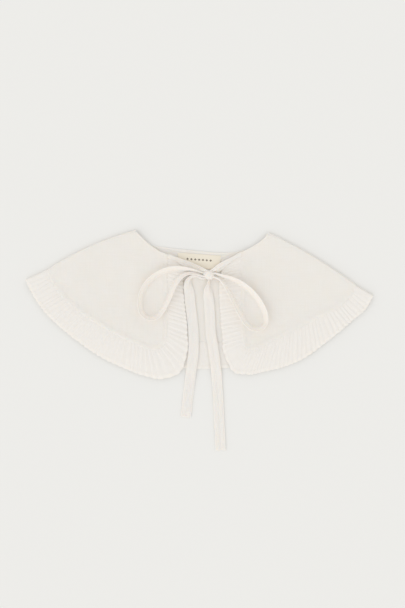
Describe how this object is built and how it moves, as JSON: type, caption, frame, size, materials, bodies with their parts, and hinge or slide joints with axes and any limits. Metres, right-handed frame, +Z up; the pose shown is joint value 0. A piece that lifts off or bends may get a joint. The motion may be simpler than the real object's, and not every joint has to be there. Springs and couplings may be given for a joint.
{
  "type": "ruffled cloth collar",
  "caption": "Wide detachable cloth collar laid flat and folded at the shoulders, with a gathered ruffle round every outer edge and two neck ties knotted in a bow.",
  "frame": {"origin": "on the surface that the collar lies on, under the middle of its bounding box", "axes": "+X from the left shoulder to the right shoulder as seen from above with the neck away from the viewer, +Y towards the neck opening, +Z up out of the surface"},
  "size_m": [0.469, 0.2978, 0.0179],
  "materials": {
    "cotton": "plain-woven cotton, matt, warm white",
    "tie_cotton": "folded and sewn cotton strip, matt, warm white",
    "label_tape": "woven tape, soft satin, cream"
  },
  "bodies": {
    "root": {"collar_back": "cotton", "collar_front_left": "cotton", "collar_front_right": "cotton", "ruffle_back": "cotton", "ruffle_front_left": "cotton", "ruffle_front_right": "cotton", "neck_label": "label_tape", "tie_lead_left": "tie_cotton", "tie_loop_left": "tie_cotton", "tie_tail_left": "tie_cotton", "tie_lead_right": "tie_cotton", "tie_loop_right": "tie_cotton", "tie_tail_right": "tie_cotton", "tie_knot": "tie_cotton"}
  },
  "joints": []
}
